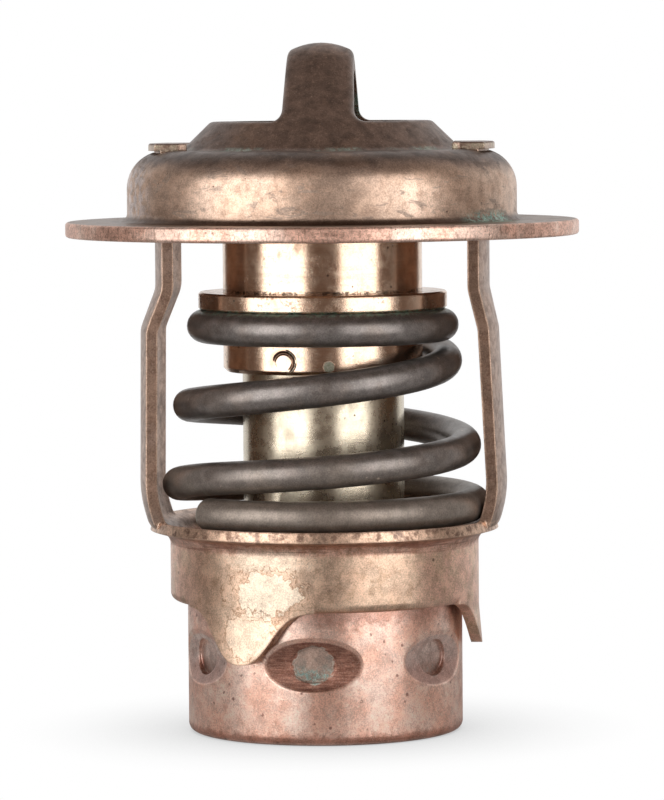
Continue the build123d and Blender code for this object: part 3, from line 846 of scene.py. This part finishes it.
# %% Skin in the crimps
CRIMP_DARK = (0.25, 0.108, 0.076)
CRIMP_BROWN = (0.50, 0.260, 0.188)
CRIMP_PALE = (0.94, 0.77, 0.69)
CRIMP_TAN = (0.74, 0.54, 0.47)
CRIMP_GREY = (0.52, 0.370, 0.325)
CRIMP_SHADE = (0.34, 0.195, 0.160)
CRIMP_SKIRT_SHADOW = (0.26, 0.125, 0.095)
CRIMP_SHADE_BELOW = (0.40, 0.235, 0.190)


def crimp_skin(f):
    streaks = f.noise(0.42, 3, 0.6, stretch=(0.22, 0.22, 2.2), shift=(3, 3, 3))
    rubbed = f.blend(f.fade(f.mottle, 0.40, 0.62), CRIMP_PALE, CRIMP_TAN)
    skin = f.coat(
        f.blend(f.fade(streaks, 0.40, 0.66), CRIMP_DARK, CRIMP_BROWN),
        (f.beside, rubbed, 0.9),
        (f.times(f.beside, f.fade(f.x, 4.0, 7.0)), CRIMP_GREY, 0.45),
        # painted shade over the lower part of the side crimps
        (f.times(f.beside, f.fade(f.up, 0.9, -1.3)), CRIMP_SHADE, 0.85),
        # painted shadow of the skirt over the front crimp's upper part
        (f.times(f.minus(1.0, f.beside), f.fade(f.up, -0.6, 1.9)), CRIMP_SKIRT_SHADOW, 0.35),
    )
    eye = f.distance(f.divide(f.across, 5.3), f.divide(f.plus(f.up, 0.45), 2.85))
    f.paint(f.times(f.inside, f.fade(eye, 1.04, 0.96)), skin, 0.92)
    # painted shade: the side crimps' dark lower part runs on a little below their dents
    below = f.times(f.beside, f.outer_wall, f.band(f.up, -2.6, -0.6, 0.35))
    f.paint(f.times(below, f.fade(f.unsigned(f.across), 3.6, 2.6)), CRIMP_SHADE_BELOW, 0.8)


crimp_skin(copper)
copper.tell("crimp skin")

# %% [markdown]
# The tool's flat nose left a small pad in the middle of each dent, grey and with green
# salts. The solid has its shape already. Its skin could be picked out by faces, but an
# oval by distance from the crimp's middle also gets a wobbling outline from noise, so the
# six differ a little under one rule.

# %% Pad and salts in the middle of each crimp
PAD_TAN = (0.40, 0.29, 0.235)
PAD_GREY = (0.27, 0.225, 0.19)
PAD_GREEN = (0.14, 0.32, 0.29)
PAD_OUTLINE = (0.60, 0.55, 0.47)


def crimp_pads(f):
    reach = f.distance(f.divide(f.across, 2.3), f.divide(f.up, 1.95))
    reach = f.plus(reach, f.wobble(f.noise(0.9, 3, 0.6, shift=(2, 2, 8)), 0.10))
    plain = f.minus(1.0, f.times(f.beside, 0.7))
    f.pad = f.times(f.fade(reach, 1.0, 0.94), f.inside, plain)
    powder = f.fade(f.noise(0.45, 3, 0.7, shift=(2, 7, 7)), 0.47, 0.58)
    salts = f.times(f.fade(f.up, 0.1, -1.2), powder)
    green = f.blend(f.fade(f.grain, 0.45, 0.6), PAD_GREEN, CHALK)
    pad_skin = f.blend(f.fade(f.mottle, 0.40, 0.65), PAD_TAN, PAD_GREY)
    f.paint(f.pad, f.coat(pad_skin, (salts, green, 0.85)), 0.95)
    outline = f.times(f.band(reach, 0.95, 1.0, 0.03), f.inside, plain)
    f.paint(outline, PAD_OUTLINE, 0.6)


crimp_pads(copper)
copper.tell("pads")

# %% [markdown]
# Brown spots, dark and pale grains and a bright hem go over the whole cup. The edge finder
# would brighten the dents' edges too, so the hem is found by height alone.

# %% Spots, hem and gloss of the cup
SPOT_BROWN = (0.20, 0.09, 0.07)
GRAIN_BROWN = (0.30, 0.13, 0.09)
GRAIN_PALE = (0.93, 0.76, 0.66)
HEM_PALE = (0.86, 0.68, 0.60)


def finish_cup(f):
    spots = f.specks(1.5, (0.7, 0.6, 0.1), 0.16, 0.08)
    f.paint(f.times(spots, f.fade(f.mottle, 0.44, 0.54)), SPOT_BROWN, 0.75)
    f.paint(f.fade(f.grain, 0.58, 0.70), GRAIN_BROWN, 0.28)
    f.paint(f.fade(f.grain, 0.40, 0.30), GRAIN_PALE, 0.25)
    f.paint(f.fade(f.z, CUP_BOTTOM + 0.45, CUP_BOTTOM + 0.15), HEM_PALE, 0.5)
    f.uneven(0.27)
    roughness = f.plus(f.fade(f.mottle, 0.3, 0.75, 0.28, 0.38), f.times(f.pad, 0.15))
    relief = f.bump(f.mottle, 0.014, f.soft_edges(0.2))
    relief = f.bump(f.grain, 0.007, relief)
    f.shade(roughness, relief, metallic=f.fade(f.pad, 0.0, 1.0, 1.0, 0.65))


finish_cup(copper)
copper.tell("spots, hem and gloss")
copper.wear("bypass_cup")

# %% [markdown]
# ## Small and hidden pieces
# These show only through gaps or when the valve is taken apart, but each still gets its
# own stuff: ground steel, rubber, a white plastic pad and wax loaded with copper powder.
# They differ only in their tones, gloss and grain, so one short function serves them all.

# %% Finishes of small pieces
STEEL_TONES = (0.50, 0.49, 0.47), (0.36, 0.35, 0.34)
RUBBER_TONES = (0.030, 0.030, 0.030), (0.018, 0.018, 0.018)
PAD_TONES = (0.78, 0.77, 0.73), (0.68, 0.67, 0.62)
WAX_TONES = (0.62, 0.45, 0.22), (0.48, 0.28, 0.12)


def plain_finish(name, tones, smooth, dull, metallic=0.0, size=0.6):
    f = Finish(name, metallic)
    cloud = f.noise(size, 4, 0.6)
    f.colour = f.blend(f.fade(cloud, 0.35, 0.65), *tones)
    f.shade(f.fade(cloud, 0.3, 0.7, smooth, dull), f.bump(cloud, 0.01, f.soft_edges(0.1)))
    return f


steel = plain_finish("ground_steel", STEEL_TONES, 0.2, 0.35, metallic=1.0)
steel.wear("piston", "valve_ring", "hub_ring")
rubber = plain_finish("black_rubber", RUBBER_TONES, 0.5, 0.7)
rubber.wear("piston_seal", "diaphragm", "rubber_plug")
plain_finish("white_pad", PAD_TONES, 0.35, 0.5).wear("pressure_pad")
plain_finish("filled_wax", WAX_TONES, 0.35, 0.55, size=0.2).wear("wax_charge")

# %% [markdown]
# ## The spring
# It is a cone of thick wire whose first half turn lies almost flat on the ledge. The solid
# could be kept as it is, but its cut ends need bevels that catch the light, so the wire is
# made again. The coil's stations are the ones the solid was made from: an angle from +X,
# with the share of the rise or of the radius at +X. Between stations the value runs
# straight, and averaging five near angles takes the corners off.

# %% Coil centre line
WIRE_R = 1.72 * MM
COIL_START = -137.0
COIL_END = 1080.0
COIL_BASE_R = 15.8
LOWEST_TURN_DROP = 20.8
TOP_TURN_DROP = 1.74
SEAT_Z = COLLAR_Z - LOWEST_TURN_DROP
TOP_COIL_Z = COLLAR_Z - TOP_TURN_DROP
RISE = [
    (-146, 0), (0, 0.0105), (100, 0.0367), (175, 0.105), (214, 0.186),
    (360, 0.333), (540, 0.556), (720, 0.802), (860, 1),
]
RADIUS = [(-146, 1.0095), (0, 1), (180, 0.9715), (360, 0.943), (540, 0.899), (720, 0.8165), (900, 0.7975)]


def between(stations, angle):
    """Straight-line value at an angle, held level outside the stations."""
    if angle <= stations[0][0]:
        return stations[0][1]
    for (a, low), (b, high) in zip(stations, stations[1:]):
        if angle <= b:
            return low + (high - low) * (angle - a) / (b - a)
    return stations[-1][1]


def eased(stations, angle, spread=10):
    near = [between(stations, angle + spread * step) for step in (-2, -1, 0, 1, 2)]
    return sum(near) / len(near)


def coil_point(angle):
    radius = COIL_BASE_R * eased(RADIUS, angle) * MM
    turn = radians(angle)
    height = SEAT_Z + (TOP_COIL_Z - SEAT_Z) * eased(RISE, angle)
    return Vector((radius * cos(turn), radius * sin(turn), height * MM))


print("coil starts at", [round(value / MM, 2) for value in coil_point(COIL_START)], "mm")

# %% [markdown]
# The wire could be a curve with a round bevel, but a curve's end can't be cut and bevelled.
# Here it is a ring of points that is pushed along the coil. A matrix lays the ring across
# the wire at any angle, from two directions: along the wire and outward from the axis.

# %% Lay a ring across the wire


def coil_place(angle):
    """Matrix that lays a flat ring across the wire at that angle of the coil."""
    along = (coil_point(angle + 1) - coil_point(angle - 1)).normalized()
    outward = Vector((cos(radians(angle)), sin(radians(angle)), 0))
    outward = (outward - along * outward.dot(along)).normalized()
    upward = along.cross(outward)
    spin = Matrix((outward, upward, along)).transposed().to_4x4()
    return Matrix.Translation(coil_point(angle)) @ spin


print("lowest turn at", round(coil_place(COIL_START).translation.z / MM, 2), "mm")

# %% [markdown]
# To push the ring, extrude the open end, then move the new ring to the next place on the
# coil. The move from one place to the next is the new matrix times the old one undone.

# %% Push the ring along the coil
RING_SIDES = 28
RING_STEPS = 300


def push_wire(mesh):
    previous = coil_place(COIL_START)
    bmesh.ops.create_circle(mesh, segments=RING_SIDES, radius=WIRE_R, matrix=previous)
    edges = list(mesh.edges)
    for step in range(1, RING_STEPS + 1):
        place = coil_place(COIL_START + (COIL_END - COIL_START) * step / RING_STEPS)
        grown = bmesh.ops.extrude_edge_only(mesh, edges=edges)["geom"]
        ring = [item for item in grown if isinstance(item, bmesh.types.BMVert)]
        edges = [item for item in grown if isinstance(item, bmesh.types.BMEdge) and item.is_boundary]
        bmesh.ops.transform(mesh, matrix=place @ previous.inverted(), verts=ring)
        previous = place


wire = bmesh.new()
push_wire(wire)
print("points along the wire:", len(wire.verts))

# %% [markdown]
# Both ends of the real wire are sheared, not ground. Each gets a flat cap whose rim has a
# small bevel, because a dead sharp edge would catch no light.

# %% Cap the ends and make the spring
CUT_BEVEL = 0.22 * MM


def cap_wire(mesh):
    ends = [edge for edge in mesh.edges if edge.is_boundary]
    caps = bmesh.ops.holes_fill(mesh, edges=ends, sides=0)["faces"]
    rim = list({edge for cap in caps for edge in cap.edges})
    bmesh.ops.bevel(mesh, geom=rim, offset=CUT_BEVEL, segments=2, profile=0.5, affect="EDGES", material=-1)
    bmesh.ops.recalc_face_normals(mesh, faces=mesh.faces)


cap_wire(wire)
wire_data = bpy.data.meshes.new("spring_wire")
wire.to_mesh(wire_data)
wire.free()
wire_data.polygons.foreach_set("use_smooth", [True] * len(wire_data.polygons))
spring = bpy.data.objects.new("spring_wire", wire_data)
bpy.context.collection.objects.link(spring)
print("spring faces:", len(wire_data.polygons))

# %% [markdown]
# ## Spring wire finish
# Oil-hardened wire is dark and satin. Its fine grain is rubbed paler, rust clouds it
# lightly, dust lies thicker towards the ledge, and salts and a chalky cut mark its ends.
# It could be full metal under all that, but wire this dull reads better when it is a
# little less metallic.

# %% Wire finish
WIRE_DARK = (0.205, 0.184, 0.172)
WIRE_GREY = (0.250, 0.226, 0.212)
WIRE_WORN = (0.38, 0.35, 0.325)
WIRE_RUST = (0.25, 0.190, 0.150)
WIRE_DUST = (0.30, 0.245, 0.195)
WIRE_FLECK = (0.62, 0.52, 0.42)
CUT_GREY = (0.30, 0.29, 0.235)
CUT_FROM, CUT_TO, CUT_SOFT = -138.0, -136.3, 0.35


def wire_skin(f):
    f.mottle = f.noise(0.9, 5, 0.65)
    f.grain = f.noise(0.11, 2, 0.6)
    f.cloud = f.noise(5.0, 3, 0.6, shift=(4, 4, 9))
    f.colour = f.blend(f.fade(f.mottle, 0.36, 0.70), WIRE_DARK, WIRE_GREY)
    f.paint(f.fade(f.grain, 0.40, 0.30), WIRE_WORN, 0.5)
    f.paint(f.fade(f.cloud, 0.48, 0.64), WIRE_RUST, 0.30)
    height = f.plus(f.z, f.wobble(f.cloud, 2.5))
    f.dusty = f.fade(height, LEDGE_TOP + 9.0, LEDGE_TOP + 2.0)
    f.paint(f.dusty, WIRE_DUST, 0.55)
    f.paint(f.fade(f.grain, 0.60, 0.70), GRIME, 0.35)
    flecks = f.specks(1.9, (0.1, 0.5, 0.2), 0.09, 0.05)
    f.paint(f.times(flecks, f.fade(f.mottle, 0.5, 0.56)), WIRE_FLECK)


def wire_ends(f):
    under_collar = f.fade(f.z, COLLAR_Z - 0.5, COLLAR_Z - 0.15)
    powder = f.fade(f.noise(0.6, 4, 0.7, shift=(1, 1, 5)), 0.45, 0.55)
    f.paint(f.times(under_collar, powder), salt_colour(f, 0.4, 0.6), 0.85)
    face = f.band(f.turn, radians(CUT_FROM), radians(CUT_TO), radians(CUT_SOFT))
    cut = f.times(face, f.fade(f.z, LEDGE_TOP + 4, LEDGE_TOP + 3), f.fade(f.mottle, 0.36, 0.50))
    f.paint(cut, f.blend(f.fade(f.grain, 0.4, 0.6), CUT_GREY, CHALK), 0.75)


def finish_wire(f):
    f.uneven(0.20, 0.17)
    satin = f.plus(f.fade(f.mottle, 0.3, 0.75, 0.32, 0.43), f.times(f.dusty, 0.08))
    f.shade(satin, f.bump(f.grain, 0.008, f.bump(f.mottle, 0.012)))


spring_steel = Finish("spring_steel", 0.85)
wire_skin(spring_steel)
wire_ends(spring_steel)
finish_wire(spring_steel)
spring_steel.tell("wire skin")
spring.data.materials.append(spring_steel.material)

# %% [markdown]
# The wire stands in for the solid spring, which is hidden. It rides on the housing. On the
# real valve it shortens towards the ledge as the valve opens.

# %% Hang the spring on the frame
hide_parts("main_spring")
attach(spring, "housing")
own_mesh(spring)

# %% [markdown]
# ## Studio
# Two tall soft boxes stand in front on the left and right, with a dark gap between them
# where the camera is. Bare metal mirrors them as two pale bands with a dark band between.
# A picture of a room could light the object instead, but lamps can be moved one at a time.
# They shine by their area, so a box's level means the same at any size.

# %% Lamps
CAMERA_SIDE = -88.0
LEFT_TURN = 46
RIGHT_TURN = 43
BOX_REACH = 0.46
BOX_HEIGHT = 0.56
BOX_CENTRE_Z = 0.17


def soft_box(name, angle, width, level):
    lamp = bpy.data.lights.new(name, "AREA")
    lamp.shape = "RECTANGLE"
    lamp.size = width
    lamp.size_y = BOX_HEIGHT
    lamp.energy = level * pi * width * BOX_HEIGHT
    box = bpy.data.objects.new(name, lamp)
    turn = radians(angle)
    box.location = (BOX_REACH * cos(turn), BOX_REACH * sin(turn), BOX_CENTRE_Z)
    box.rotation_euler = (pi / 2, 0, turn + pi / 2)
    box.visible_camera = False
    bpy.context.collection.objects.link(box)
    print(name, "stands at", angle, "degrees from +X")


soft_box("left_box", CAMERA_SIDE - LEFT_TURN, width=0.46, level=2.75)
soft_box("right_box", CAMERA_SIDE + RIGHT_TURN, width=0.38, level=2.45)

# %% [markdown]
# ## World
# The world shows white to the camera. To light and reflections it is white only behind the
# object and a dim warm room in front, so the sides of round metal go dark before their
# edges catch the white again. One grey would be simpler, but round metal needs something
# dark to mirror. Generated coordinates are the ray's direction in a world.

# %% World
ROOM_DIM = (0.135, 0.098, 0.080)
ROOM_WHITE = (0.95, 0.95, 0.95)
WHITE = (1.0, 1.0, 1.0)
BACKDROP_SIDE = (0.12, 0.99, 0.0)
WHITE_STARTS = -0.05
WHITE_FULL = 0.92

world = bpy.data.worlds.new("white_room")
bpy.context.scene.world = world
world.use_nodes = True
room = Patterns(world.node_tree)
heading = room.add("ShaderNodeTexCoord").outputs["Generated"]
facing = room.add("ShaderNodeVectorMath", {0: heading, 1: BACKDROP_SIDE}, operation="DOT_PRODUCT")
behind = room.fade(facing.outputs["Value"], WHITE_STARTS, WHITE_FULL)
camera_ray = room.add("ShaderNodeLightPath").outputs["Is Camera Ray"]
room_colour = room.blend(camera_ray, room.blend(behind, ROOM_DIM, ROOM_WHITE), WHITE)
room.feed(world.node_tree.nodes["Background"].inputs["Color"], room_colour)
print("world:", world.name, len(world.node_tree.nodes), "nodes")

# %% [markdown]
# ## Floor
# The floor is a plain grid that the cup stands on. It shows white to the camera and only
# darkens where the object stands close over it, as a painted contact shadow under the cup.

# %% Floor sheet
FLOOR_REACH = 0.11

floor_mesh = bmesh.new()
bmesh.ops.create_grid(floor_mesh, x_segments=1, y_segments=1, size=FLOOR_REACH)
floor_data = bpy.data.meshes.new("floor")
floor_mesh.to_mesh(floor_data)
floor_mesh.free()
floor = bpy.data.objects.new("floor", floor_data)
bpy.context.collection.objects.link(floor)
print("floor:", 2 * FLOOR_REACH, "m across")

# %% [markdown]
# A shadow catcher would give the contact shadow too, but needs a white picture behind it
# afterwards. Here ambient occlusion measures how close the object is, and the camera sees
# a glow that is weaker there. All other rays see plain grey paper.

# %% Floor paper
SHADOW_REACH = 0.02
PAPER_GREY = (0.55, 0.55, 0.55)
PAPER_ROUGHNESS = 0.9

paper = bpy.data.materials.new("white_paper")
paper.use_nodes = True
sheet = Graph(paper.node_tree)
diffuse = sheet.tree.nodes["Principled BSDF"]
sheet.feed(diffuse.inputs["Base Color"], PAPER_GREY)
sheet.feed(diffuse.inputs["Roughness"], PAPER_ROUGHNESS)
openness = sheet.add("ShaderNodeAmbientOcclusion", {"Distance": SHADOW_REACH}, samples=8).outputs["AO"]
levels = {"Value": openness, "From Min": 0.2, "From Max": 0.95, "To Min": 0.55, "To Max": 1.0}
shadow = sheet.add("ShaderNodeMapRange", levels).outputs[0]
glow = sheet.add("ShaderNodeEmission", {"Strength": shadow}).outputs[0]
camera_ray = sheet.add("ShaderNodeLightPath").outputs["Is Camera Ray"]
choice = sheet.add("ShaderNodeMixShader", {0: camera_ray, 1: diffuse.outputs[0], 2: glow}).outputs[0]
sheet.feed(sheet.tree.nodes["Material Output"].inputs["Surface"], choice)
floor.data.materials.append(paper)
print("paper:", len(sheet.tree.nodes), "nodes")

# %% [markdown]
# ## Camera
# A long lens from about half a metre, a few millimetres below the stirrup's top and
# tipped down a little. The lens could be tried out by eye, but the focal length follows
# from the scale: 9.5 picture points to a millimetre.

# %% Camera
PICTURE_HEIGHT = 800
POINTS_PER_MM = 9.5
CAMERA_REACH = 484 * MM
EYE_ABOVE_COLLAR = 22.7
EYE_HEIGHT = (COLLAR_Z + EYE_ABOVE_COLLAR) * MM
SENSOR_HEIGHT = 24.0
SIDE_TURN = 2.2
TIP_DOWN = radians(3.83)
ROLL = radians(-0.45)
AIM_SIDE = 0.9 * MM

camera_data = bpy.data.cameras.new("camera")
camera_data.sensor_fit = "VERTICAL"
camera_data.sensor_height = SENSOR_HEIGHT
focal_points = POINTS_PER_MM / MM * CAMERA_REACH
camera_data.lens = SENSOR_HEIGHT * focal_points / PICTURE_HEIGHT
camera = bpy.data.objects.new("camera", camera_data)
toward = radians(-90 + SIDE_TURN)
right = Vector((-sin(toward), cos(toward), 0))
stand = Vector((CAMERA_REACH * cos(toward), CAMERA_REACH * sin(toward), EYE_HEIGHT))
camera.location = stand + right * AIM_SIDE
level_view = Matrix.Rotation(radians(SIDE_TURN), 4, "Z") @ Matrix.Rotation(pi / 2 - TIP_DOWN, 4, "X")
camera.rotation_euler = (level_view @ Matrix.Rotation(ROLL, 4, "Z")).to_euler()
bpy.context.collection.objects.link(camera)
bpy.context.scene.camera = camera
bpy.context.scene.view_settings.view_transform = "Standard"
print("lens:", round(camera_data.lens, 1), "mm, eye at", round(EYE_HEIGHT / MM, 1), "mm")

# %% [markdown]
# ## End of the scene
